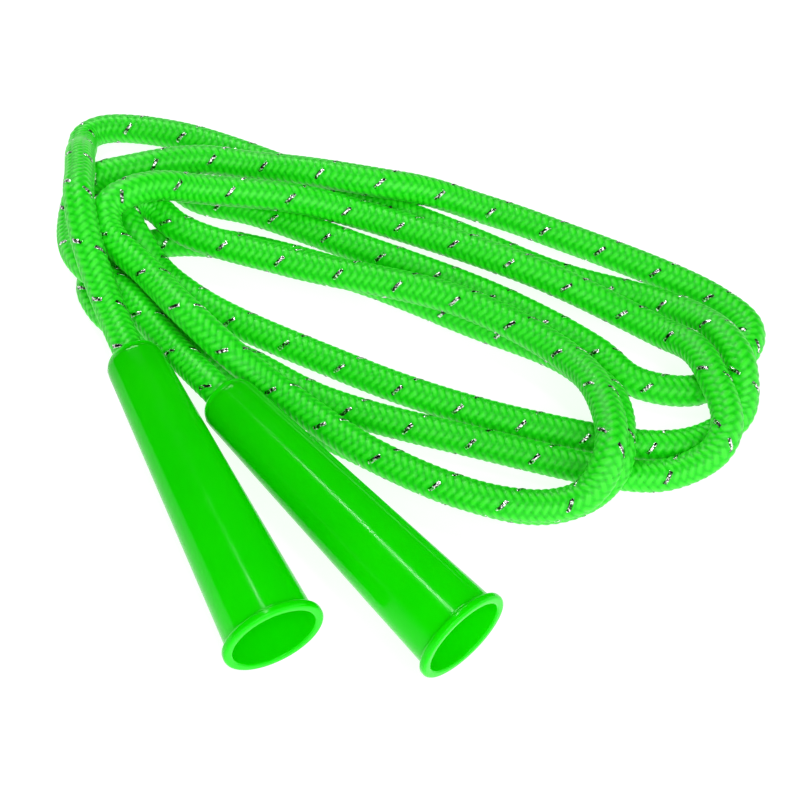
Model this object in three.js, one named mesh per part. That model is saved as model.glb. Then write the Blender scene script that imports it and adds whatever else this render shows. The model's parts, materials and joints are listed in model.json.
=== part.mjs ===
// Skipping rope: two hollow tapered handles on one braided rope, laid down in a loose hank.
// Millimetres, +Z up. The origin is on the ground, under the middle of the two handles.
import * as THREE from 'three';

// Handle, along its own axis, from the open mouth (0) to the narrow end
const HANDLE_LENGTH = 102.4;
const MOUTH_RADIUS = 11.9;
const RIM_RADIUS = 14.5;
const RIM_THICKNESS = 2.4;
const RIM_EDGE_ROUNDING = 0.8;
const BODY_RADIUS_AT_RIM = 12.85;
const TIP_SHOULDER = 2.95;
const TIP_DOME_LENGTH = 4.8;
const TIP_FLAT_WIDTH = 0.4;
const WALL = 1.5;
const TIP_WALL = 2.6;

// Rope, and what keeps each handle on it
const ROPE_DIAMETER = 9.5;
const ROPE_SIDES = 8;
const ROPE_STEP = 14;
const HOLE_CLEARANCE = 0.75;
const HANDLE_TRAVEL = 18;
const WASHER_THICKNESS = 1.6;
const WASHER_SIDE_CLEARANCE = 0.55;
const KNOT_LENGTH = 15;
const KNOT_SIDE_CLEARANCE = 0.35;
const TAIL_LENGTH = 13;
const MELTED_TIP_LENGTH = 2.2;
const MATING_GAP = 0.3;
const EXIT_STRAIGHT = 5;

// Where the handles' narrow ends lie, and how far each handle turns from the middle line, in degrees
const TIP_AXIS_HEIGHT = 17.7;
const HANDLE_TURN = 7.6;
const TIP_SIDE_CLEARANCE = -1.17;
const LEFT_TIP_FORWARD = 64.9;
const RIGHT_TIP_FORWARD = 37;

const ROUND_SEGMENTS = 48;
const INNER_SEGMENTS = 24;
const CORNER_STEPS = 4;

// The rope's centre line between the two handles, chosen by hand.
const ROUTE = [
  // up from the left handle, over the pile and down the far side to the ground
  [-4, 83, 18.5], [-0.5, 100, 25.5], [5.5, 116.7, 31.5], [11.5, 128.7, 27.5], [16.5, 139.7, 22],
  [23.4, 155.2, 8.5], [28, 163, 5], [35, 162.5, 4.8], [54, 146, 4.8],
  // outer run to the right, under its neighbours, then up into the outer right bend
  [83, 99, 4.8], [107, 55, 4.8], [121, 28, 4.8], [140, 2, 5], [144, -13, 9.5], [143.5, -25, 13.5],
  [140.7, -35.5, 13.5], [133.5, -44.9, 6.5], [122, -46, 4.8], [108, -41, 4.8],
  // back along the ground and up into the middle left fold
  [80, -13, 4.8], [59, 15, 4.8], [43, 42, 4.8], [29, 68, 4.8], [23, 83, 4.8], [19, 98, 6.5],
  [17.5, 109, 14], [17.5, 117, 17.5], [22, 121, 17.5], [27.5, 117, 15.5], [31, 103, 13],
  // inner run and the inner right loop, on top
  [52, 74, 12], [86, 30, 14], [98.9, -3.3, 15], [96.9, -23.3, 20], [86.6, -41.7, 22.5], [76, -47, 16.5],
  [67, -44, 13], [52, -32, 13],
  // nearest run, back over the others to the top left fold
  [34, -2, 13], [21.6, 35.4, 14], [16.2, 48.8, 19.6], [12.5, 65, 23], [11, 87, 21], [8, 106, 23.5],
  [12, 113, 26], [21, 114.5, 26], [31, 114, 22.5], [41, 111, 18],
  // second run to the right and its bend
  [66, 94.5, 13.5], [81, 82, 9], [113, 28, 11.5], [132, -10, 8.5], [133.5, -22.5, 13],
  [130.5, -34, 15], [124, -49, 13.5], [116.8, -53.2, 10], [105.8, -51.1, 6], [95.9, -45.4, 4.8],
  // along the ground to the lowest left bend
  [62.5, -8, 4.8], [35, 27.5, 4.8], [20, 59, 4.8], [-0.8, 86.6, 4.8], [-2.7, 96.5, 4.8],
  [-0.4, 106.1, 4.8], [10.8, 112, 4.8], [34, 103.5, 4.8],
  // along the ground again and into the inner right loop, under its twin
  [66.5, 66, 4.8], [89, 27, 4.8], [102.5, 1.5, 6], [104.4, -10.8, 7.5], [101, -26.3, 13],
  [88.5, -42.5, 13.5], [80, -44, 8], [66.5, -39, 4.8],
  // hidden run below the nearest one, up into the widest left fold
  [49.5, -20.5, 4.8], [33, 10.5, 4.8], [21, 36, 6], [15.5, 60, 13.5], [13, 89.5, 11],
  [8, 111, 13.5], [20.5, 133, 5.5], [26, 140.5, 4.8], [34.5, 140.5, 4.8], [41, 132, 4.8],
  [45, 118.5, 4.8],
  // along the ground to the far right bend
  [57.5, 103, 4.8], [75.5, 73.5, 4.8], [100.5, 30, 4.8], [113, -2.5, 4.8], [116.2, -18.9, 4.8],
  [131.3, -31.4, 4.8], [156.2, -23.5, 4.8], [156, -7.5, 4.8],
  // last run, over the first one, and round the left side to the right handle
  [128.5, 47, 4.8], [117, 64.5, 5.5], [105.5, 75, 10], [94, 82.5, 14], [77, 101, 13.5],
  [63.5, 117, 10.5], [51, 126, 12.5], [32.5, 132, 14.5], [15.5, 137.5, 11.5], [5.5, 128.2, 8.5],
  [-1.1, 106.2, 15], [3, 90, 14.5], [5.5, 62, 14.2],
];

const ROPE_RADIUS = ROPE_DIAMETER / 2;
const HOLE_RADIUS = ROPE_RADIUS + HOLE_CLEARANCE;
const BODY_RADIUS_AT_TIP = HOLE_RADIUS + TIP_SHOULDER;
// One tip lies ahead of the other, so that each may reach a little over the middle line.
const TIP_FROM_MIDDLE = BODY_RADIUS_AT_TIP + TIP_SIDE_CLEARANCE;
const TIP_WALL_INSIDE = HANDLE_LENGTH - TIP_WALL;

function bodyRadiusAt(along) {
  return BODY_RADIUS_AT_RIM + (BODY_RADIUS_AT_TIP - BODY_RADIUS_AT_RIM) * (along / HANDLE_LENGTH);
}

const NARROWEST_BORE = bodyRadiusAt(TIP_WALL_INSIDE) - WALL;

function boreRadiusAt(along) {
  return MOUTH_RADIUS + (NARROWEST_BORE - MOUTH_RADIUS) * (along / TIP_WALL_INSIDE);
}

// Places along the handle's axis. At rest the handle is pushed up the rope, clear of its knot.
const WASHER_TOP = TIP_WALL_INSIDE - MATING_GAP;
const WASHER_BASE = WASHER_TOP - WASHER_THICKNESS;
const KNOT_TOP = WASHER_BASE - MATING_GAP - HANDLE_TRAVEL;
const KNOT_BASE = KNOT_TOP - KNOT_LENGTH;
const TAIL_TOP = KNOT_BASE - MATING_GAP;
const TAIL_BASE = TAIL_TOP - TAIL_LENGTH;
const MELT_TOP = TAIL_BASE - MATING_GAP;
const MELT_BASE = MELT_TOP - MELTED_TIP_LENGTH;
// The knot passes inside the washer's place when the handle is pulled out, so both fit the bore there.
const WASHER_RADIUS = NARROWEST_BORE - WASHER_SIDE_CLEARANCE;
const KNOT_RADIUS = boreRadiusAt(WASHER_BASE) - KNOT_SIDE_CLEARANCE;

// Quarter round between two points of a profile, bulging towards the corner
function roundedCorner(from, corner, to) {
  const curve = new THREE.QuadraticBezierCurve(
    new THREE.Vector2(...from), new THREE.Vector2(...corner), new THREE.Vector2(...to));
  return curve.getPoints(CORNER_STEPS);
}

function turned(profile, segments) {
  const geometry = new THREE.LatheGeometry(profile, segments);
  // LatheGeometry turns about Y; the parts here stand along +Z
  geometry.rotateX(Math.PI / 2);
  return geometry;
}

function point(radius, along) {
  return new THREE.Vector2(radius, along);
}

function handleGeometry() {
  const rimTop = RIM_THICKNESS;
  const bodyStart = bodyRadiusAt(rimTop + RIM_EDGE_ROUNDING);
  const domeStart = HANDLE_LENGTH - TIP_DOME_LENGTH;
  const domeRadius = bodyRadiusAt(domeStart);
  const profile = [
    point(MOUTH_RADIUS, 0),
    ...roundedCorner([RIM_RADIUS - RIM_EDGE_ROUNDING, 0], [RIM_RADIUS, 0], [RIM_RADIUS, RIM_EDGE_ROUNDING]),
    ...roundedCorner(
      [RIM_RADIUS, rimTop - RIM_EDGE_ROUNDING], [RIM_RADIUS, rimTop],
      [RIM_RADIUS - RIM_EDGE_ROUNDING, rimTop]),
    point(bodyStart, rimTop + RIM_EDGE_ROUNDING),
    ...roundedCorner(
      [domeRadius, domeStart], [domeRadius, HANDLE_LENGTH], [HOLE_RADIUS + TIP_FLAT_WIDTH, HANDLE_LENGTH]),
    point(HOLE_RADIUS, HANDLE_LENGTH),
    point(HOLE_RADIUS, TIP_WALL_INSIDE),
    point(NARROWEST_BORE, TIP_WALL_INSIDE),
    point(MOUTH_RADIUS, 0),
  ];
  return turned(profile, ROUND_SEGMENTS);
}

function washerGeometry() {
  return turned([
    point(HOLE_RADIUS, WASHER_BASE),
    point(WASHER_RADIUS, WASHER_BASE),
    point(WASHER_RADIUS, WASHER_TOP),
    point(HOLE_RADIUS, WASHER_TOP),
    point(HOLE_RADIUS, WASHER_BASE),
  ], INNER_SEGMENTS);
}

// A solid turned about the axis with both ends rounded
function barrel(radius, base, top, rounding) {
  return turned([
    point(0, base),
    ...roundedCorner([radius - rounding, base], [radius, base], [radius, base + rounding]),
    ...roundedCorner([radius, top - rounding], [radius, top], [radius - rounding, top]),
    point(0, top),
  ], INNER_SEGMENTS);
}

function material(color, roughness, metalness = 0) {
  return new THREE.MeshStandardMaterial({ color, roughness, metalness });
}

function mesh(name, geometry, look) {
  const made = new THREE.Mesh(geometry, look);
  made.name = name;
  return made;
}

// A frame whose +Z runs from a handle's mouth, which rests on the ground by its rim, to its narrow end
function handleFrame([x, y], turn) {
  const rise = TIP_AXIS_HEIGHT - RIM_RADIUS;
  const tilt = Math.asin(rise / HANDLE_LENGTH);
  const heading = THREE.MathUtils.degToRad(turn);
  const direction = new THREE.Vector3(
    Math.sin(heading) * Math.cos(tilt), Math.cos(heading) * Math.cos(tilt), Math.sin(tilt));
  const group = new THREE.Group();
  group.position.set(x, y, TIP_AXIS_HEIGHT).addScaledVector(direction, -HANDLE_LENGTH);
  group.quaternion.setFromUnitVectors(new THREE.Vector3(0, 0, 1), direction);
  return { group, along: (distance) => group.position.clone().addScaledVector(direction, distance) };
}

// A smooth path whose steps fall on its own points, leaving out those nearer than a step to the last
class RoutePath extends THREE.CatmullRomCurve3 {
  constructor(points, step) {
    super(points, false, 'centripetal');
    const last = points.length - 1;
    this.stops = [0];
    points.forEach((at, index) => {
      const previous = points[this.stops.at(-1)];
      const roomAfter = at.distanceTo(points[last]) >= step;
      if (at.distanceTo(previous) >= step && roomAfter) this.stops.push(index);
    });
    this.stops.push(last);
    this.steps = this.stops.length - 1;
  }

  parameterOf(part) {
    return this.stops[Math.round(part * this.steps)] / (this.points.length - 1);
  }

  getPointAt(part, target) {
    return this.getPoint(this.parameterOf(part), target);
  }

  getTangentAt(part, target) {
    return this.getTangent(this.parameterOf(part), target);
  }
}

function ropeGeometry(left, right) {
  const exitStops = [KNOT_TOP + MATING_GAP, HANDLE_LENGTH, HANDLE_LENGTH + EXIT_STRAIGHT];
  const points = [
    ...exitStops.map(left.along),
    ...ROUTE.map((at) => new THREE.Vector3(...at)),
    ...exitStops.map(right.along).reverse(),
  ];
  const section = new THREE.Shape();
  for (let side = 0; side < ROPE_SIDES; side += 1) {
    const angle = (2 * Math.PI * side) / ROPE_SIDES;
    const corner = [ROPE_RADIUS * Math.cos(angle), ROPE_RADIUS * Math.sin(angle)];
    if (side === 0) section.moveTo(...corner);
    else section.lineTo(...corner);
  }
  section.closePath();
  const extrudePath = new RoutePath(points, ROPE_STEP);
  return new THREE.ExtrudeGeometry(section, { steps: extrudePath.steps, extrudePath });
}

const plasticGreen = material(0x12d200, 0.22);
const ropeGreen = material(0x22cc0c, 0.7);
const nylonWhite = material(0xe9ece6, 0.45);
const meltedGreen = material(0x0c8a06, 0.35);

function handleAssembly(side, place, turn) {
  const frame = handleFrame(place, turn);
  frame.group.add(
    mesh(`${side}_handle`, handleGeometry(), plasticGreen),
    mesh(`${side}_washer`, washerGeometry(), nylonWhite),
    mesh(`${side}_stop_knot`, barrel(KNOT_RADIUS, KNOT_BASE, KNOT_TOP, KNOT_LENGTH * 0.3), ropeGreen),
    mesh(`${side}_rope_tail`, barrel(ROPE_RADIUS, TAIL_BASE, TAIL_TOP, 0.5), ropeGreen),
    mesh(`${side}_melted_tip`, barrel(ROPE_RADIUS - 0.3, MELT_BASE, MELT_TOP, 0.9), meltedGreen),
  );
  return frame;
}

const skippingRope = new THREE.Group();
const left = handleAssembly('left', [-TIP_FROM_MIDDLE, LEFT_TIP_FORWARD], HANDLE_TURN);
const right = handleAssembly('right', [TIP_FROM_MIDDLE, RIGHT_TIP_FORWARD], -HANDLE_TURN);
skippingRope.add(left.group, right.group, mesh('rope', ropeGeometry(left, right), ropeGreen));

export default skippingRope;
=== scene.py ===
"""A skipping rope in a loose hank: two glossy tapered handles on a braided rope with one tinsel yarn."""
import json
import math

import bpy
import numpy as np
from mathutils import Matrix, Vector


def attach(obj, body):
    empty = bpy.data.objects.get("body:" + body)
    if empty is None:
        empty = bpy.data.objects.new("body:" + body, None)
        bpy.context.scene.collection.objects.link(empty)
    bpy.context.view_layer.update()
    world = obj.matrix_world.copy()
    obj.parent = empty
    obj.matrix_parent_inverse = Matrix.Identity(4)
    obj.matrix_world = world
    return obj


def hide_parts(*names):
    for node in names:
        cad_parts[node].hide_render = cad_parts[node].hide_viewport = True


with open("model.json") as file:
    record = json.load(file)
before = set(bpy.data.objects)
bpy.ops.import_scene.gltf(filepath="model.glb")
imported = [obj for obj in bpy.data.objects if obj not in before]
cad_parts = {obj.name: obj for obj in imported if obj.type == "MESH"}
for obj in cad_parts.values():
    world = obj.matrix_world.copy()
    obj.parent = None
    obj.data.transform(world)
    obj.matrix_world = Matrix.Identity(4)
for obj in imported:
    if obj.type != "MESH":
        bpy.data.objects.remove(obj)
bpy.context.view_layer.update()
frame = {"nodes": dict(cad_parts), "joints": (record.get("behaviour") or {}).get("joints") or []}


# ---------------------------------------------------------------- sizes, in metres
ROPE_DIAMETER = 0.0095
CARRIERS = 8                 # yarns in each direction, sixteen in all
PITCH = 0.0189               # one turn of a yarn round the rope
YARN_CROWN = 0.00040         # how far a yarn's middle stands above its edges
YARN_LIFT = 0.00025          # how far a yarn rises and dips over and under the others
YARN_LEAN = math.radians(57.6)  # between a yarn and the rope's own line
RING_STEP = 0.00040          # between the rings of points of a braided tube
AROUND = 64                  # points in each ring
FLOOR_GAP = 0.00002          # between the floor and what lies on it
RIM_ROUNDING = 0.0008        # of the CAD handle's rim
TIP_DOME = 0.0048            # length of the rounding at a handle's narrow end
BAKE_ROWS = 9                # rows that the rope's surface is cut into when it is laid out flat
TIGHTEST_BEND = 0.0065       # radius of the rope's middle line in its sharpest folds
TWIST = 0.031                # turns that the braid is rolled round its own axis
TENT = 1.35                  # how bright the light tent's walls are, round the dark opening for the camera

# The rope's centre line between the two handles: the same points as the part's own route.
ROUTE_MM = [
    # up from the left handle, over the pile and down the far side to the ground
    (-4, 83, 18.5), (-0.5, 100, 25.5), (5.5, 116.7, 31.5), (11.5, 128.7, 27.5), (16.5, 139.7, 22),
    (23.4, 155.2, 8.5), (28, 163, 5), (35, 162.5, 4.8), (54, 146, 4.8),
    # outer run to the right, under its neighbours, then up into the outer right bend
    (83, 99, 4.8), (107, 55, 4.8), (121, 28, 4.8), (140, 2, 5), (144, -13, 9.5), (143.5, -25, 13.5),
    (140.7, -35.5, 13.5), (133.5, -44.9, 6.5), (122, -46, 4.8), (108, -41, 4.8),
    # back along the ground and up into the middle left fold
    (80, -13, 4.8), (59, 15, 4.8), (43, 42, 4.8), (29, 68, 4.8), (23, 83, 4.8), (19, 98, 6.5),
    (17.5, 109, 14), (17.5, 117, 17.5), (22, 121, 17.5), (27.5, 117, 15.5), (31, 103, 13),
    # inner run and the inner right loop, on top
    (52, 74, 12), (86, 30, 14), (98.9, -3.3, 15), (96.9, -23.3, 20), (86.6, -41.7, 22.5), (76, -47, 16.5),
    (67, -44, 13), (52, -32, 13),
    # nearest run, back over the others to the top left fold
    (34, -2, 13), (21.6, 35.4, 14), (16.2, 48.8, 19.6), (12.5, 65, 23), (11, 87, 21), (8, 106, 23.5),
    (12, 113, 26), (21, 114.5, 26), (31, 114, 22.5), (41, 111, 18),
    # second run to the right and its bend
    (66, 94.5, 13.5), (81, 82, 9), (113, 28, 11.5), (132, -10, 8.5), (133.5, -22.5, 13),
    (130.5, -34, 15), (124, -49, 13.5), (116.8, -53.2, 10), (105.8, -51.1, 6), (95.9, -45.4, 4.8),
    # along the ground to the lowest left bend
    (62.5, -8, 4.8), (35, 27.5, 4.8), (20, 59, 4.8), (-0.8, 86.6, 4.8), (-2.7, 96.5, 4.8),
    (-0.4, 106.1, 4.8), (10.8, 112, 4.8), (34, 103.5, 4.8),
    # along the ground again and into the inner right loop, under its twin
    (66.5, 66, 4.8), (89, 27, 4.8), (102.5, 1.5, 6), (104.4, -10.8, 7.5), (101, -26.3, 13),
    (88.5, -42.5, 13.5), (80, -44, 8), (66.5, -39, 4.8),
    # hidden run below the nearest one, up into the widest left fold
    (49.5, -20.5, 4.8), (33, 10.5, 4.8), (21, 36, 6), (15.5, 60, 13.5), (13, 89.5, 11),
    (8, 111, 13.5), (20.5, 133, 5.5), (26, 140.5, 4.8), (34.5, 140.5, 4.8), (41, 132, 4.8),
    (45, 118.5, 4.8),
    # along the ground to the far right bend
    (57.5, 103, 4.8), (75.5, 73.5, 4.8), (100.5, 30, 4.8), (113, -2.5, 4.8), (116.2, -18.9, 4.8),
    (131.3, -31.4, 4.8), (156.2, -23.5, 4.8), (156, -7.5, 4.8),
    # last run, over the first one, and round the left side to the right handle
    (128.5, 47, 4.8), (117, 64.5, 5.5), (105.5, 75, 10), (94, 82.5, 14), (77, 101, 13.5),
    (63.5, 117, 10.5), (51, 126, 12.5), (32.5, 132, 14.5), (15.5, 137.5, 11.5), (5.5, 128.2, 8.5),
    (-1.1, 106.2, 15), (3, 90, 14.5), (5.5, 62, 14.2),
]

# ---------------------------------------------------------------- camera
camera_data = bpy.data.cameras.new("camera")
camera_data.lens = 80.55
camera_data.sensor_width = 36.0
camera = bpy.data.objects.new("camera", camera_data)
bpy.context.scene.collection.objects.link(camera)
camera.location = (-0.1201, -0.2428, 0.4334)
looking = Vector((0.0560, 0.0183, 0.0)) - camera.location
camera.rotation_euler = looking.to_track_quat("-Z", "Y").to_euler()
bpy.context.scene.camera = camera


# ---------------------------------------------------------------- mesh helpers
def new_object(name, data, body):
    obj = bpy.data.objects.new(name, data)
    bpy.context.scene.collection.objects.link(obj)
    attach(obj, body)
    return obj


def mesh_from(name, points, quads, fans=()):
    """A smooth-shaded mesh from points and four-cornered faces, with fans of triangles at its ends."""
    mesh = bpy.data.meshes.new(name)
    quads = np.asarray(quads, np.int32)
    triangles = np.asarray(fans, np.int32).reshape(-1, 3)
    mesh.vertices.add(len(points))
    mesh.vertices.foreach_set("co", np.asarray(points, np.float32).ravel())
    corners = np.concatenate([quads.ravel(), triangles.ravel()])
    mesh.loops.add(len(corners))
    mesh.loops.foreach_set("vertex_index", corners)
    starts = np.concatenate([np.arange(len(quads)) * 4, len(quads) * 4 + np.arange(len(triangles)) * 3])
    mesh.polygons.add(len(starts))
    mesh.polygons.foreach_set("loop_start", starts.astype(np.int32))
    mesh.polygons.foreach_set("use_smooth", np.ones(len(starts), bool))
    mesh.update(calc_edges=True)
    mesh.validate()
    return mesh


def tube_faces(rings, around):
    """Faces of a tube of rings, closed by a fan on one point at each end."""
    ring = np.arange(rings - 1)[:, None] * around
    k = np.arange(around)[None, :]
    nxt = (k + 1) % around
    quads = np.stack([ring + k, ring + nxt, ring + around + nxt, ring + around + k], -1).reshape(-1, 4)
    k = np.arange(around)
    nxt = (k + 1) % around
    first, last = rings * around, rings * around + 1
    end = (rings - 1) * around
    fans = np.concatenate([
        np.stack([np.full(around, first), nxt, k], -1),
        np.stack([np.full(around, last), end + k, end + nxt], -1),
    ])
    return quads, fans


def resample(points, step):
    lengths = np.concatenate([[0.0], np.cumsum(np.linalg.norm(np.diff(points, axis=0), axis=1))])
    count = max(3, int(round(lengths[-1] / step)) + 1)
    at = np.linspace(0.0, lengths[-1], count)
    return np.stack([np.interp(at, lengths, points[:, i]) for i in range(3)], -1)


def catmull(points, per_span=40):
    """The centripetal curve through the points, the same one that the part's rope follows."""
    p = np.asarray(points, float)
    p = np.concatenate([[2 * p[0] - p[1]], p, [2 * p[-1] - p[-2]]])
    out = []
    for a, b, c, d in zip(p[:-3], p[1:-2], p[2:-1], p[3:]):
        t0, t1 = 0.0, math.sqrt(np.linalg.norm(b - a))
        t2 = t1 + math.sqrt(np.linalg.norm(c - b))
        t3 = t2 + math.sqrt(np.linalg.norm(d - c))
        t = np.linspace(t1, t2, per_span, endpoint=False)[:, None]
        a1 = (t1 - t) / (t1 - t0) * a + (t - t0) / (t1 - t0) * b
        a2 = (t2 - t) / (t2 - t1) * b + (t - t1) / (t2 - t1) * c
        a3 = (t3 - t) / (t3 - t2) * c + (t - t2) / (t3 - t2) * d
        b1 = (t2 - t) / (t2 - t0) * a1 + (t - t0) / (t2 - t0) * a2
        b2 = (t3 - t) / (t3 - t1) * a2 + (t - t1) / (t3 - t1) * a3
        out.append((t2 - t) / (t2 - t1) * b1 + (t - t1) / (t2 - t1) * b2)
    out.append(p[-2][None])
    return np.concatenate(out)


def frames(centre):
    """Tangent, sideways and downward directions along a line that is nowhere upright."""
    tangent = np.gradient(centre, axis=0)
    tangent /= np.linalg.norm(tangent, axis=1)[:, None]
    normal = np.cross(tangent, (0.0, 0.0, 1.0))
    normal /= np.linalg.norm(normal, axis=1)[:, None]
    return tangent, normal, np.cross(tangent, normal)


def carried_frames(centre):
    """The same for a line that may stand upright, turned as little as possible from ring to ring."""
    tangent = np.gradient(centre, axis=0)
    tangent /= np.linalg.norm(tangent, axis=1)[:, None]
    normal = np.empty_like(tangent)
    side = np.cross(tangent[0], (0.3, 0.2, 1.0))
    normal[0] = side / np.linalg.norm(side)
    for i in range(1, len(tangent)):
        n = normal[i - 1] - tangent[i] * (normal[i - 1] @ tangent[i])
        normal[i] = n / math.sqrt(n @ n)
    return tangent, normal, np.cross(tangent, normal)


# ---------------------------------------------------------------- the braid
def over(phase):
    """+1 where a yarn runs over the others and -1 where it runs under: over two, then under two."""
    return np.clip(1.5 * np.cos(2 * math.pi * (phase - 0.125)), -1.0, 1.0)


def crown(across):
    return np.sqrt(np.clip(1.0 - (2.0 * across / 1.06) ** 2, 0.0, 1.0))


def braid_heights(turn, along):
    """Height of both families of yarns over the rope's core.

    The place is given by a turn (0 to 1) round the rope and a distance along it.
    """
    u = (turn - along / PITCH) * CARRIERS
    v = (turn + along / PITCH) * CARRIERS
    i, j = np.floor(u), np.floor(v)
    right = YARN_CROWN * crown(u - i - 0.5) + YARN_LIFT * over((v + i + 0.5) / 4)
    left = YARN_CROWN * crown(v - j - 0.5) - YARN_LIFT * over((j + 0.5 + u) / 4)
    return u, v, right, left


CORE = ROPE_DIAMETER / 2 - YARN_CROWN - YARN_LIFT


def braided(name, centre, body, twist=TWIST):
    """A braided tube along a line, with a UV map that counts yarns in both directions."""
    rings = len(centre)
    along = np.concatenate([[0.0], np.cumsum(np.linalg.norm(np.diff(centre, axis=0), axis=1))])
    tangent, normal, binormal = frames(centre)
    turn = np.arange(AROUND) / AROUND
    u, v, right, left = braid_heights(turn[None, :] + twist, along[:, None])
    height = np.maximum(right, left)
    radius = CORE + height
    angle = 2 * math.pi * turn
    spoke = (np.cos(angle)[None, :, None] * normal[:, None]
             + np.sin(angle)[None, :, None] * binormal[:, None])
    points = (centre[:, None] + radius[..., None] * spoke).reshape(-1, 3)
    points = np.concatenate([points, centre[:1], centre[-1:]])
    points[:, 2] = np.maximum(points[:, 2], FLOOR_GAP)
    quads, fans = tube_faces(rings, AROUND)
    mesh = mesh_from(name, points, quads, fans)
    # Height of the surface over the core; the yarn colour uses it for painted shade in the valleys between
    # yarns and a painted highlight on their crowns
    depth = np.concatenate([(height / (YARN_CROWN + YARN_LIFT)).ravel(), [0.0, 0.0]])
    family = np.concatenate([(right > left).astype(float).ravel(), [0.0, 0.0]])
    for label, values in (("depth", depth), ("family", family)):
        mesh.attributes.new(label, "FLOAT", "POINT").data.foreach_set("value", values.astype(np.float32))
    # Corner coordinates, so that the counting runs on over the seam
    corner_turn = np.tile(np.array([0, 1, 1, 0]), len(quads)) / AROUND
    corner_turn += np.repeat(np.tile(turn, rings - 1), 4)
    ring = np.repeat(np.arange(rings - 1), AROUND)
    corner_along = along[np.stack([ring, ring, ring + 1, ring + 1], -1).ravel()]
    u = (corner_turn + twist - corner_along / PITCH) * CARRIERS
    v = (corner_turn + twist + corner_along / PITCH) * CARRIERS
    coordinates = np.zeros((len(mesh.loops), 2), np.float32)
    coordinates[:len(u), 0] = u
    coordinates[:len(v), 1] = v
    mesh.uv_layers.new(name="braid").data.foreach_set("uv", coordinates.ravel())
    # The whole surface laid out flat in rows, with a small gap between them
    per_row = math.ceil((rings - 1) / BAKE_ROWS)
    corner_ring = np.stack([ring, ring, ring + 1, ring + 1], -1).ravel()
    row = np.repeat(ring // per_row, 4)
    flat = np.zeros((len(mesh.loops), 2), np.float32)
    flat[:len(row), 0] = 0.005 + 0.99 * (corner_ring - row * per_row) / per_row
    flat[:len(row), 1] = (row + 0.02 + 0.96 * corner_turn) / BAKE_ROWS
    mesh.uv_layers.new(name="OFBake").data.foreach_set("uv", flat.ravel())
    return new_object(name, mesh, body), along


# ---------------------------------------------------------------- where the handles are
joints = {joint["name"]: joint for joint in frame["joints"]}


def handle_axis(side):
    """The point in the middle of a handle's narrow end, and the direction from its mouth to there."""
    tip = np.array(joints[f"{side}_handle_spin"]["pos_m"], float)
    outward = -np.array(joints[f"{side}_handle_spin"]["axis"], float)
    return tip, outward / np.linalg.norm(outward)


def measured(node, start, direction):
    """Distance along an axis, and from it, of a CAD node's vertices."""
    points = np.array([vertex.co for vertex in frame["nodes"][node].data.vertices], float) - start
    along = points @ direction
    return along, np.linalg.norm(points - along[:, None] * direction, axis=1)


def relaxed(centre):
    """Eases strands that press on each other apart, so that they lie side by side and on each other."""
    points = resample(centre, 0.004)
    home = points.copy()
    index = np.arange(len(points))
    apart = np.abs(index[:, None] - index[None, :]) > 7
    loose = np.clip(np.minimum(index, index[::-1]) / 12.0 - 0.6, 0.0, 1.0)[:, None]
    for _ in range(160):
        gap = points[:, None] - points[None]
        distance = np.linalg.norm(gap, axis=2) + 1e-9
        short = np.where(apart, np.clip(ROPE_DIAMETER * 0.985 - distance, 0.0, None), 0.0)
        push = (gap / distance[..., None] * short[..., None]).sum(1) * 0.28
        smooth = np.zeros_like(points)
        smooth[1:-1] = (points[:-2] + points[2:]) / 2 - points[1:-1]
        bend = np.zeros_like(points)
        bend[1:-1] = (home[:-2] + home[2:]) / 2 - home[1:-1]
        points = points + loose * (push + (smooth - bend) * 0.5 + (home - points) * 0.015)
        points[:, 2] = np.maximum(points[:, 2], np.minimum(home[:, 2], ROPE_DIAMETER / 2))
    # Open out what is bent more sharply than the rope can be
    for _ in range(14):
        chord = np.linalg.norm(points[2:] - points[:-2], axis=1)
        sag = (points[:-2] + points[2:]) / 2 - points[1:-1]
        radius = chord ** 2 / (8 * np.linalg.norm(sag, axis=1) + 1e-9)
        sharp = np.clip(1 - radius / TIGHTEST_BEND, 0, 1)
        sharp = np.convolve(sharp, (0.25, 0.5, 1, 0.5, 0.25), "same")[:, None]
        points[1:-1] += loose[1:-1] * sag * np.clip(sharp, 0, 1) * 0.5
    return catmull(points, 12)


left_tip, left_way = handle_axis("left")
right_tip, right_way = handle_axis("right")
left_mouth = left_tip + left_way * measured("left_handle", left_tip, left_way)[0].min()
right_mouth = right_tip + right_way * measured("right_handle", right_tip, right_way)[0].min()
grip_length = -measured("left_handle", left_tip, left_way)[0].min()
knot_top = measured("left_stop_knot", left_mouth, left_way)[0].max()

# The line leaves each handle straight: it starts inside the stop and runs out through the narrow end
straight = [knot_top - 0.001, grip_length - 0.012, grip_length, grip_length + 0.005]
guide = [left_mouth + left_way * distance for distance in straight]
guide += [np.array(point) / 1000 for point in ROUTE_MM]
guide += [right_mouth + right_way * distance for distance in reversed(straight)]
centre_line = resample(relaxed(catmull(guide)), RING_STEP)
rope, rope_along = braided("braided_rope", centre_line, "rope")
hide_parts("rope")


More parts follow.
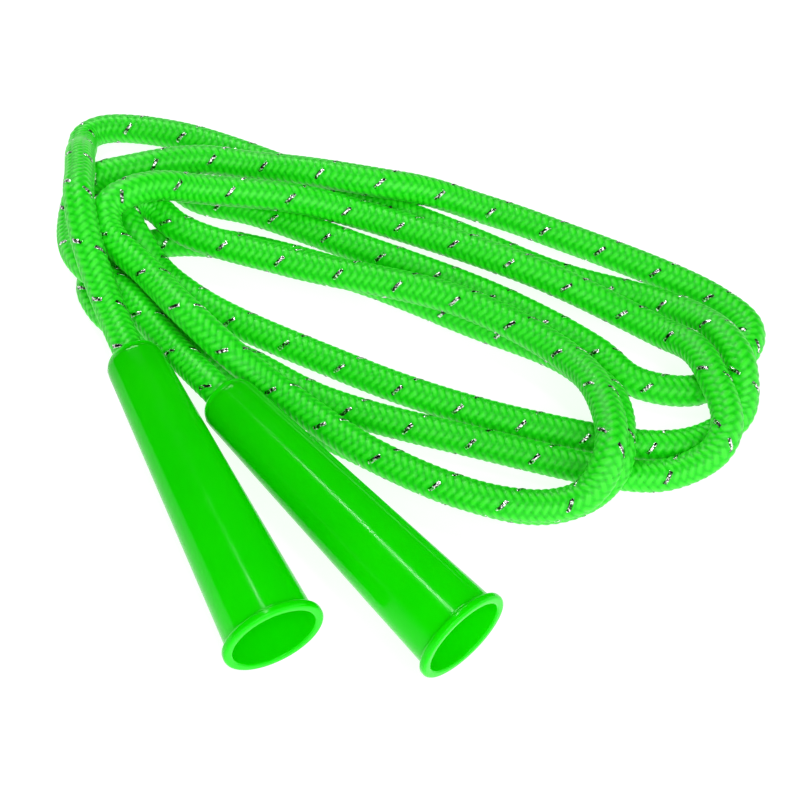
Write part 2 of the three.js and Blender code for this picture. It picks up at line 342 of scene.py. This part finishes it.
# ---------------------------------------------------------------- the tinsel yarn
def tinsel(name, centre, along, body):
    """A flat bundle of metal foil that takes one yarn's place in the braid."""
    tangent, normal, binormal = frames(centre)
    random = np.random.default_rng(7)
    turn = 0.5 / CARRIERS - along / PITCH - TWIST
    across = np.array([-0.30, -0.15, 0.0, 0.15, 0.30, 0.15, 0.0, -0.15])
    below = np.array([0.0, 0.0, 0.0, 0.0, 0.0, 0.00022, 0.00022, 0.00022])
    u = (0.5 - 2 * along / PITCH * CARRIERS)[:, None]
    lift = YARN_CROWN * crown(across)[None, :] * 1.02 - YARN_LIFT * over((0.5 + u) / 4)
    crinkle = random.uniform(-0.00005, 0.00008, (len(along), len(across)))
    radius = CORE + lift + 0.00003 + crinkle - below[None, :]
    sideways = across[None, :] / CARRIERS
    angle = 2 * math.pi * (turn[:, None] + sideways * math.cos(YARN_LEAN) ** 2)
    shift = sideways * PITCH * math.sin(YARN_LEAN) ** 2
    spoke = np.cos(angle)[..., None] * normal[:, None] + np.sin(angle)[..., None] * binormal[:, None]
    points = centre[:, None] + radius[..., None] * spoke + shift[..., None] * tangent[:, None]
    points = np.concatenate([points.reshape(-1, 3), centre[:1], centre[-1:]])
    points[:, 2] = np.maximum(points[:, 2], FLOOR_GAP)
    quads, fans = tube_faces(len(centre), len(across))
    mesh = mesh_from(name, points, quads, fans)
    return new_object(name, mesh, body)


tracer = tinsel("tinsel_yarn", centre_line, rope_along, "rope")


# ---------------------------------------------------------------- turned pieces
def rounded(corner_from, corner, corner_to, steps=8):
    t = np.linspace(0, math.pi / 2, steps + 1)
    a, c, b = (np.array(p, float) for p in (corner_from, corner, corner_to))
    centre = a + b - c
    return [tuple(centre + (a - centre) * math.cos(x) + (b - centre) * math.sin(x)) for x in t]


def lathe(name, profile, start, direction, body, segments=144):
    """Turns a closed profile of (radius, distance along) about an axis."""
    side = np.cross(direction, (0.0, 0.0, 1.0))
    side /= np.linalg.norm(side)
    upward = np.cross(side, direction)
    profile = np.array(profile, float)
    angle = 2 * math.pi * np.arange(segments) / segments
    spoke = np.cos(angle)[:, None] * side + np.sin(angle)[:, None] * upward
    points = start + profile[:, None, 1:] * direction + profile[:, None, :1] * spoke[None]
    count = len(profile)
    ring = np.arange(count)[:, None] * segments
    after = ((np.arange(count) + 1) % count)[:, None] * segments
    k = np.arange(segments)[None, :]
    nxt = (k + 1) % segments
    quads = np.stack([ring + k, ring + nxt, after + nxt, after + k], -1).reshape(-1, 4)
    mesh = mesh_from(name, points.reshape(-1, 3), quads)
    return new_object(name, mesh, body)


def handle(side, mouth, way):
    along, radius = measured(f"{side}_handle", mouth, way)
    length = along.max()
    hole = radius.min()
    rim = radius.max()
    opening = radius[along < 0.0001].min()
    inside = along[radius < hole + 0.0001].min()
    bore_end = radius[(abs(along - inside) < 0.0001)].max()
    rim_thickness = along[radius > rim - 0.00002].max() + RIM_ROUNDING
    body_low = radius[abs(along - rim_thickness - RIM_ROUNDING) < 0.0002].max()
    tip_start = length - TIP_DOME
    body_high = radius[abs(along - tip_start) < 0.0001].max()
    profile = []
    profile += rounded((opening, 0.0007), (opening, 0.0), (opening + 0.0006, 0.0), 5)
    profile += rounded((rim - 0.0009, 0.0), (rim, 0.0), (rim, 0.0009))
    profile += rounded((rim, rim_thickness - 0.0009), (rim, rim_thickness), (rim - 0.0009, rim_thickness))
    fillet = 0.0011
    foot = rim_thickness + 0.0001
    start = foot + fillet
    slope = (body_high - body_low) / (tip_start - rim_thickness)
    base = body_low + slope * (start - rim_thickness - RIM_ROUNDING)
    profile += rounded((base + fillet * 0.6, foot), (base, foot), (base, start), 6)
    steps = np.linspace(0, 1, 40)[1:-1]
    profile += [(base + (body_high - base) * t, start + (tip_start - start) * t) for t in steps]
    profile += rounded((body_high, tip_start), (body_high, length), (hole + 0.0004, length), 16)
    profile += rounded((hole + 0.0004, length), (hole, length), (hole, length - 0.0004), 4)[1:]
    profile += [(hole, inside + 0.0002), (hole + 0.0002, inside), (bore_end - 0.0002, inside)]
    profile += [(bore_end, inside - 0.0002)]
    profile += [(bore_end + (opening - bore_end) * t, inside + (0.0007 - inside) * t) for t in steps]
    made = lathe(f"{side}_grip", profile, mouth, way, f"{side}_handle")
    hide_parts(f"{side}_handle")
    return made


def washer(side, mouth, way):
    along, radius = measured(f"{side}_washer", mouth, way)
    low, high, inner, outer = along.min(), along.max(), radius.min(), radius.max()
    r = 0.00035
    profile = rounded((inner, low + r), (inner, low), (inner + r, low), 4)
    profile += rounded((outer - r, low), (outer, low), (outer, low + r), 4)
    profile += rounded((outer, high - r), (outer, high), (outer - r, high), 4)
    profile += rounded((inner + r, high), (inner, high), (inner, high - r), 4)
    made = lathe(f"{side}_nylon_washer", profile, mouth, way, f"{side}_washer", 72)
    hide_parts(f"{side}_washer")
    return made


def axis_frame(way):
    side = np.cross(way, (0.0, 0.0, 1.0))
    side /= np.linalg.norm(side)
    return side, np.cross(side, way)


def whipping(side_name, mouth, way):
    """The stop: yarn wound tightly round the rope's end, its last turns a little uneven."""
    along, radius = measured(f"{side_name}_stop_knot", mouth, way)
    thick = (radius.max() - ROPE_DIAMETER / 2) / 2 + 0.00012
    low, high = along.min() + thick, along.max() - thick
    turns = (high - low) / (thick * 1.92)
    t = np.linspace(0, 1, int(turns * 40))
    random = np.random.default_rng(11 if side_name == "left" else 12)
    wave = np.interp(t, np.linspace(0, 1, 12), random.uniform(-0.00012, 0.00008, 12))
    angle = 2 * math.pi * turns * t
    side, upward = axis_frame(way)
    reach = radius.max() - thick + wave
    centre = (mouth + (low + (high - low) * t)[:, None] * way
              + reach[:, None] * (np.cos(angle)[:, None] * side + np.sin(angle)[:, None] * upward))
    tangent, normal, binormal = carried_frames(centre)
    ring = 2 * math.pi * np.arange(14) / 14
    spoke = np.cos(ring)[None, :, None] * normal[:, None] + np.sin(ring)[None, :, None] * binormal[:, None]
    size = thick * np.clip(np.minimum(t, 1 - t) * 60 + 0.35, 0, 1)
    points = (centre[:, None] + size[:, None, None] * spoke).reshape(-1, 3)
    quads, fans = tube_faces(len(centre), 14)
    mesh = mesh_from("winding", np.concatenate([points, centre[:1], centre[-1:]]), quads, fans)
    made = new_object(f"{side_name}_end_whipping", mesh, "rope")
    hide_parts(f"{side_name}_stop_knot")
    return made


def tail(side_name, mouth, way):
    """The rope's cut end below its whipping, and the blob where its yarns are melted together."""
    low = measured(f"{side_name}_rope_tail", mouth, way)[0].min()
    line = resample(np.array([mouth + way * (knot_top - 0.0015), mouth + way * (low - 0.0006)]), RING_STEP)
    made, _ = braided(f"{side_name}_cut_end", line, "rope", twist=0.3)
    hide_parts(f"{side_name}_rope_tail")
    along, radius = measured(f"{side_name}_melted_tip", mouth, way)
    side, upward = axis_frame(way)
    random = np.random.default_rng(21 if side_name == "left" else 22)
    rings, around = 14, 48
    lumps = random.uniform(0, 2 * math.pi, 4)
    t = np.linspace(0.02, 0.98, rings)
    angle = 2 * math.pi * np.arange(around) / around
    swell = np.sin(math.pi * (0.5 + 0.5 * t)) ** 0.5
    coarse = 0.025 * np.cos(3 * angle[None] + lumps[0] + 3 * t[:, None])
    fine = 0.02 * np.cos(7 * angle[None] + lumps[1])
    lump = 1 + coarse + fine
    reach = radius.max() * np.clip(swell[:, None] * lump, 0.05, 1.0)
    drop = along.max() - (along.max() - along.min()) * np.sin(math.pi / 2 * t)
    spoke = np.cos(angle)[:, None] * side + np.sin(angle)[:, None] * upward
    points = mouth + drop[:, None, None] * way + reach[..., None] * spoke[None]
    ends = np.array([mouth + way * (along.max() + 0.0004), mouth + way * along.min()])
    quads, fans = tube_faces(rings, around)
    mesh = mesh_from("melt", np.concatenate([points.reshape(-1, 3), ends]), quads[:, ::-1], fans[:, ::-1])
    blob = new_object(f"{side_name}_melted_end", mesh, "rope")
    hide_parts(f"{side_name}_melted_tip")
    return made, blob


pieces = {}
for side, mouth, way in (("left", left_mouth, left_way), ("right", right_mouth, right_way)):
    pieces[side] = {
        "grip": handle(side, mouth, way),
        "washer": washer(side, mouth, way),
        "whipping": whipping(side, mouth, way),
        "tail": tail(side, mouth, way),
    }

on_rope = []
for side in ("left", "right"):
    on_rope += [pieces[side]["whipping"], *pieces[side]["tail"], pieces[side]["washer"]]


# ---------------------------------------------------------------- materials
class Nodes:
    """A short way of writing a material's nodes."""

    def __init__(self, name):
        self.material = bpy.data.materials.new(name)
        self.material.use_nodes = True
        self.tree = self.material.node_tree
        self.shader = self.tree.nodes["Principled BSDF"]

    def add(self, kind, inputs=None, **settings):
        node = self.tree.nodes.new(kind)
        for key, value in settings.items():
            setattr(node, key, value)
        for key, value in (inputs or {}).items():
            self.feed(node.inputs[key], value)
        return node

    def feed(self, socket, value):
        if isinstance(value, bpy.types.NodeSocket):
            self.tree.links.new(value, socket)
        else:
            socket.default_value = value

    def maths(self, operation, a, b=0.0, c=0.0):
        return self.add("ShaderNodeMath", {0: a, 1: b, 2: c}, operation=operation).outputs[0]

    def noise(self, vector, scale, detail=2.0, roughness=0.5):
        node = self.add("ShaderNodeTexNoise",
                        {"Vector": vector, "Scale": scale, "Detail": detail, "Roughness": roughness})
        return node.outputs["Fac"]

    def spread(self, value, low, high, to_low=0.0, to_high=1.0):
        node = self.add("ShaderNodeMapRange", {"Value": value, "From Min": low, "From Max": high,
                                               "To Min": to_low, "To Max": to_high})
        return node.outputs["Result"]

    def colours(self, factor, *stops):
        node = self.add("ShaderNodeValToRGB", {"Fac": factor})
        ramp = node.color_ramp
        while len(ramp.elements) < len(stops):
            ramp.elements.new(0.5)
        for element, (place, colour) in zip(ramp.elements, stops):
            element.position = place
            element.color = (*colour, 1.0)
        return node.outputs["Color"]

    def bump(self, height, distance, strength=1.0):
        return self.add("ShaderNodeBump", {"Height": height, "Distance": distance,
                                           "Strength": strength}).outputs["Normal"]

    def set(self, **sockets):
        names = {
            "colour": "Base Color", "roughness": "Roughness", "normal": "Normal", "metallic": "Metallic",
            "ior": "IOR", "specular": "Specular IOR Level", "sheen": "Sheen Weight",
            "sheen_roughness": "Sheen Roughness", "sheen_tint": "Sheen Tint",
            "subsurface": "Subsurface Weight", "subsurface_radius": "Subsurface Radius",
            "subsurface_scale": "Subsurface Scale",
        }
        for key, value in sockets.items():
            self.feed(self.shader.inputs[names[key]], value)
        return self.material


def object_place(nodes):
    return nodes.add("ShaderNodeTexCoord").outputs["Object"]


def yarn_material():
    n = Nodes("braided_yarn")
    uv = n.add("ShaderNodeUVMap", uv_map="braid").outputs["UV"]
    parts = n.add("ShaderNodeSeparateXYZ", {"Vector": uv})
    u, v = parts.outputs["X"], parts.outputs["Y"]
    family = n.add("ShaderNodeAttribute", attribute_name="family").outputs["Fac"]
    family = n.maths("GREATER_THAN", family, 0.5)
    depth = n.add("ShaderNodeAttribute", attribute_name="depth").outputs["Fac"]
    # Each family's filaments run along its own yarns, so its noise is drawn out that way
    one = n.add("ShaderNodeCombineXYZ", {
        "X": n.maths("MULTIPLY", u, 9.0), "Y": n.maths("MULTIPLY", v, 0.5)})
    two = n.add("ShaderNodeCombineXYZ", {
        "X": n.maths("MULTIPLY", v, 9.0), "Y": n.maths("MULTIPLY", u, 0.5), "Z": 40.0})
    # Sockets 4 and 5 are the mix node's two vectors
    both = n.add("ShaderNodeMix", {"Factor": family, 4: two.outputs[0], 5: one.outputs[0]},
                 data_type="VECTOR")
    filaments = n.noise(both.outputs[1], 1.0, 3.0, 0.6)
    place = object_place(n)
    patches = n.noise(place, 60.0, 2.0)
    streaks = n.maths("MULTIPLY", n.maths("SUBTRACT", filaments, 0.5), 0.5)
    blotches = n.maths("MULTIPLY", n.maths("SUBTRACT", patches, 0.5), 0.25)
    # Darker green low between the yarns and lighter, whiter green on their crowns: painted shade in the
    # valleys and painted highlight on the crowns; the filament streaks and blotches are the yarn's own
    # tone
    shade = n.maths("ADD", n.spread(depth, 0.1, 1.0), streaks)
    shade = n.maths("ADD", shade, blotches)
    colour = n.colours(shade, (0.0, (0.0, 0.38, 0.0)), (0.45, (0.001, 0.60, 0.0)),
                       (0.8, (0.006, 0.74, 0.001)), (1.0, (0.04, 0.88, 0.02)))
    rough = n.spread(filaments, 0.3, 0.7, 0.32, 0.48)
    return n.set(colour=colour, roughness=rough, normal=n.bump(filaments, 0.00012, 0.7), sheen=0.07,
                 sheen_roughness=0.4, sheen_tint=(0.6, 1.0, 0.5, 1.0), specular=0.42)


def twine_material():
    n = Nodes("wound_yarn")
    place = object_place(n)
    fibres = n.noise(place, 3200.0, 3.0, 0.6)
    patches = n.noise(place, 300.0, 2.0)
    shade = n.maths("ADD", n.maths("MULTIPLY", fibres, 0.6), n.maths("MULTIPLY", patches, 0.4))
    colour = n.colours(shade, (0.25, (0.001, 0.4, 0.0)), (0.55, (0.004, 0.76, 0.0)),
                       (0.8, (0.02, 0.9, 0.01)))
    return n.set(colour=colour, roughness=n.spread(fibres, 0.3, 0.7, 0.42, 0.6),
                 normal=n.bump(fibres, 0.0001, 0.6), sheen=0.15, sheen_roughness=0.4)


def tinsel_material():
    n = Nodes("tinsel_foil")
    place = object_place(n)
    creases = n.noise(place, 1300.0, 1.0)
    # The crease noise turns the foil from near black through grey to white: the near black and grey are
    # painted dark reflection, the white is the foil's own silver
    colour = n.colours(creases, (0.42, (0.02, 0.05, 0.02)), (0.50, (0.3, 0.36, 0.3)),
                       (0.57, (0.98, 0.98, 0.97)))
    return n.set(colour=colour, metallic=1.0, roughness=n.spread(creases, 0.3, 0.7, 0.08, 0.3),
                 normal=n.bump(creases, 0.00025, 0.8))


def plastic_material():
    n = Nodes("glossy_green_plastic")
    place = object_place(n)
    flow = n.noise(place, 35.0, 3.0)
    grain = n.noise(place, 900.0, 2.0)
    scuffs = n.noise(place, 180.0, 5.0, 0.7)
    colour = n.colours(flow, (0.3, (0.004, 0.72, 0.0)), (0.7, (0.006, 0.78, 0.0)))
    rough = n.maths("ADD", n.spread(scuffs, 0.45, 0.75, 0.10, 0.20), n.maths("MULTIPLY", grain, 0.03))
    height = n.maths("ADD", n.maths("MULTIPLY", flow, 0.7), n.maths("MULTIPLY", grain, 0.05))
    return n.set(colour=colour, roughness=rough, normal=n.bump(height, 0.0003, 0.09), ior=1.5,
                 specular=0.15, subsurface=0.3, subsurface_radius=(0.1, 1.0, 0.1), subsurface_scale=0.004)


def nylon_material():
    n = Nodes("natural_nylon")
    place = object_place(n)
    clouds = n.noise(place, 400.0, 3.0)
    colour = n.colours(clouds, (0.3, (0.72, 0.74, 0.68)), (0.7, (0.84, 0.85, 0.81)))
    return n.set(colour=colour, roughness=n.spread(clouds, 0.3, 0.7, 0.35, 0.5),
                 normal=n.bump(clouds, 0.00008, 0.4), subsurface=0.2, subsurface_scale=0.001)


def melt_material():
    n = Nodes("melted_yarn")
    place = object_place(n)
    lumps = n.noise(place, 900.0, 4.0)
    colour = n.colours(lumps, (0.3, (0.002, 0.12, 0.0)), (0.6, (0.004, 0.33, 0.002)),
                       (0.8, (0.02, 0.42, 0.01)))
    return n.set(colour=colour, roughness=n.spread(lumps, 0.3, 0.7, 0.22, 0.45),
                 normal=n.bump(lumps, 0.0003, 0.6))


def floor_material():
    n = Nodes("light_table")
    place = object_place(n)
    grain = n.noise(place, 300.0, 3.0)
    colour = n.colours(grain, (0.3, (0.30, 0.30, 0.30)), (0.7, (0.32, 0.32, 0.32)))
    n.feed(n.shader.inputs["Emission Color"], (1.0, 1.0, 1.0, 1.0))
    n.feed(n.shader.inputs["Emission Strength"], 0.86)
    return n.set(colour=colour, roughness=0.85, specular=0.1)


looks = {"yarn": yarn_material(), "twine": twine_material(), "tinsel": tinsel_material(),
         "plastic": plastic_material(), "nylon": nylon_material(), "melt": melt_material()}
rope.data.materials.append(looks["yarn"])
tracer.data.materials.append(looks["tinsel"])
for side in ("left", "right"):
    pieces[side]["grip"].data.materials.append(looks["plastic"])
    pieces[side]["washer"].data.materials.append(looks["nylon"])
    pieces[side]["whipping"].data.materials.append(looks["twine"])
    pieces[side]["tail"][0].data.materials.append(looks["yarn"])
    pieces[side]["tail"][1].data.materials.append(looks["melt"])

# ---------------------------------------------------------------- floor and light
floor_mesh = mesh_from("floor", [(-3, -3, 0), (3, -3, 0), (3, 3, 0), (-3, 3, 0)], [(0, 1, 2, 3)])
floor_mesh.materials.append(floor_material())
floor = bpy.data.objects.new("floor", floor_mesh)
bpy.context.scene.collection.objects.link(floor)


def lamp(name, place, target, wide, tall, power):
    data = bpy.data.lights.new(name, "AREA")
    data.shape = "RECTANGLE"
    data.size, data.size_y, data.energy = wide, tall, power
    obj = bpy.data.objects.new(name, data)
    bpy.context.scene.collection.objects.link(obj)
    obj.location = place
    obj.rotation_euler = (Vector(target) - obj.location).to_track_quat("-Z", "Y").to_euler()
    return obj


middle = (0.05, 0.04, 0.0)
lamp("strip", (0.05, 0.44, 1.16), (0.0, 0.0, 0.0), 0.10, 0.33, 2.5)
lamp("back", (0.25, 1.15, 0.85), middle, 0.8, 0.35, 8.0)
lamp("front", (-0.25, -0.85, 1.15), middle, 1.0, 0.8, 6.8)
world = bpy.data.worlds.new("light_tent")
world.use_nodes = True
tree = world.node_tree
place = tree.nodes.new("ShaderNodeTexCoord")
toward = tree.nodes.new("ShaderNodeVectorMath")
toward.operation = "DOT_PRODUCT"
toward.inputs[1].default_value = Vector((0.10, 0.75, 0.65)).normalized()
tree.links.new(place.outputs["Generated"], toward.inputs[0])
opening = tree.nodes.new("ShaderNodeMapRange")
opening.interpolation_type = "SMOOTHSTEP"
for socket, value in zip(("From Min", "From Max", "To Min", "To Max"), (-0.10, 0.42, TENT, 0.03)):
    opening.inputs[socket].default_value = value
tree.links.new(toward.outputs["Value"], opening.inputs["Value"])
tree.links.new(opening.outputs["Result"], tree.nodes["Background"].inputs["Strength"])
tree.nodes["Background"].inputs["Color"].default_value = (1.0, 1.0, 1.0, 1.0)
bpy.context.scene.world = world
bpy.context.scene.view_settings.view_transform = "Standard"
